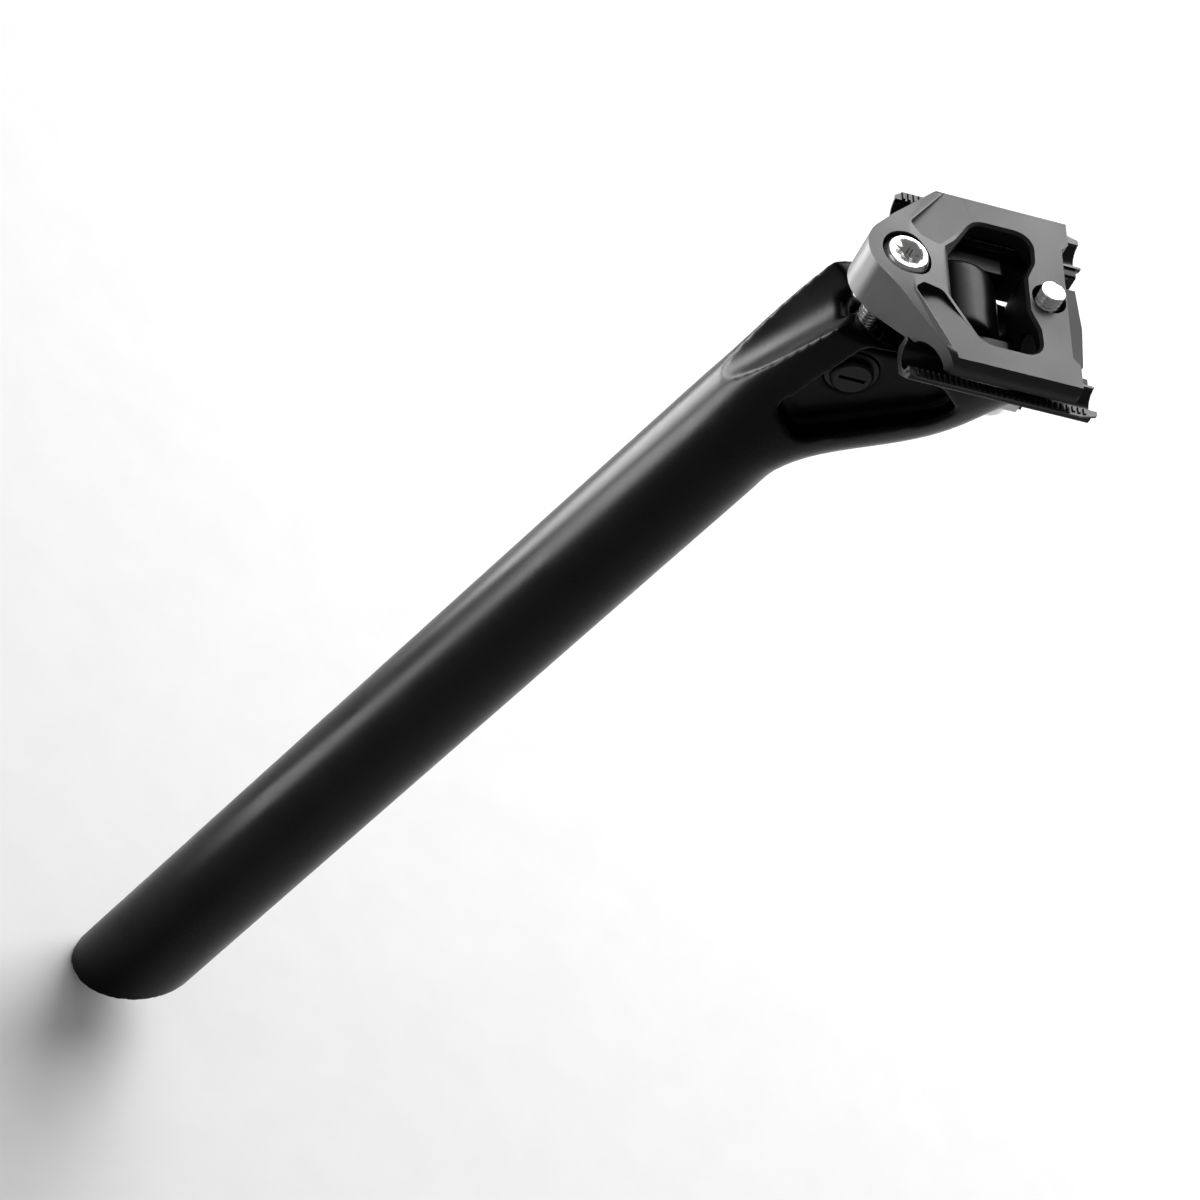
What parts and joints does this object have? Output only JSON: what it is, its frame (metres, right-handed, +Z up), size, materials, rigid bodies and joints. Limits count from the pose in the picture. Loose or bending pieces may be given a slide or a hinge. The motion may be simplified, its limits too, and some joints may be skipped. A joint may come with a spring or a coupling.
{
  "type": "bicycle seatpost",
  "caption": "Rigid bicycle seatpost with setback: a round tube, a leaning forged head, and a two-bolt micro-adjust clamp that grips both saddle rails and tilts.",
  "frame": {"origin": "on the tube's axis, at the tube's lowest complete cross-section, just above its slanting cut", "axes": "+Z up along the tube, +X towards the rear wheel, +Y to the rider's right"},
  "size_m": [0.0609, 0.0562, 0.3464],
  "materials": {
    "post_anodised": "satin",
    "clamp_anodised": "satin",
    "cradle_anodised": "satin",
    "ribbed_strip": "satin",
    "bright_steel": "polished",
    "nut_steel": "satin",
    "dark_steel": "satin",
    "polymer": "matte",
    "locking_patch": "matte"
  },
  "bodies": {
    "post": {"post_body": "post_anodised", "front_nut_bushings": "polymer", "rear_rocker_liner": "polymer"},
    "cradle": {"lower_cradle": "cradle_anodised", "cradle_liner_left": "polymer", "cradle_liner_right": "polymer", "rail_liner_left": "ribbed_strip", "rail_liner_right": "ribbed_strip"},
    "top_clamp": {"top_clamp_plate": "clamp_anodised", "front_seat_ring": "dark_steel", "rear_nut_plugs": "polymer"},
    "front_washer": {"front_domed_washer": "nut_steel"},
    "front_bolt": {"front_bolt": "bright_steel", "front_thread_patch": "locking_patch"},
    "front_nut": {"front_barrel_nut": "dark_steel"},
    "rocker": {"rear_rocker": "nut_steel"},
    "rear_bolt": {"rear_bolt": "bright_steel", "rear_washer": "nut_steel", "rear_thread_patch": "locking_patch"},
    "rear_nut": {"rear_barrel_nut": "dark_steel"}
  },
  "joints": [
    {"name": "saddle_tilt", "type": "hinge", "parent": "post", "child": "cradle", "pos_m": [0.018, 0, 0.304], "axis": [0, 1, 0], "range_deg": [-10, 10]},
    {"name": "clamp_open", "type": "slide", "parent": "cradle", "child": "top_clamp", "axis": [-0.2656, 0, 0.9641], "range_m": [0, 0.004]},
    {"name": "front_washer_rock", "type": "hinge", "parent": "top_clamp", "child": "front_washer", "pos_m": [-0.00397, 0, 0.316], "axis": [0, 1, 0], "range_deg": [-5.5, 5.5]},
    {"name": "front_bolt_turn", "type": "hinge", "parent": "front_washer", "child": "front_bolt", "pos_m": [-0.00302, 0, 0.31252], "axis": [-0.2656, 0, 0.9641], "continuous": true},
    {"name": "front_nut_swivel", "type": "hinge", "parent": "post", "child": "front_nut", "pos_m": [0.00476, 0, 0.28428], "axis": [0, 1, 0], "range_deg": [-6, 6]},
    {"name": "rocker_swivel", "type": "hinge", "parent": "post", "child": "rocker", "pos_m": [0.0395, 0, 0.29374], "axis": [0, 1, 0], "range_deg": [-4, 4]},
    {"name": "rear_bolt_turn", "type": "hinge", "parent": "rocker", "child": "rear_bolt", "pos_m": [0.04013, 0, 0.29143], "axis": [-0.2656, 0, 0.9641], "continuous": true},
    {"name": "rear_nut_swivel", "type": "hinge", "parent": "top_clamp", "child": "rear_nut", "pos_m": [0.03315, 0, 0.31678], "axis": [0, 1, 0], "range_deg": [-7.5, 7.5]}
  ],
  "couplings": [
    {"joint": "front_nut_swivel", "follows": "saddle_tilt", "ratio": 0.5289},
    {"joint": "front_washer_rock", "follows": "saddle_tilt", "ratio": -0.4711},
    {"joint": "rocker_swivel", "follows": "saddle_tilt", "ratio": 0.3473},
    {"joint": "rear_nut_swivel", "follows": "saddle_tilt", "ratio": -0.6527}
  ]
}
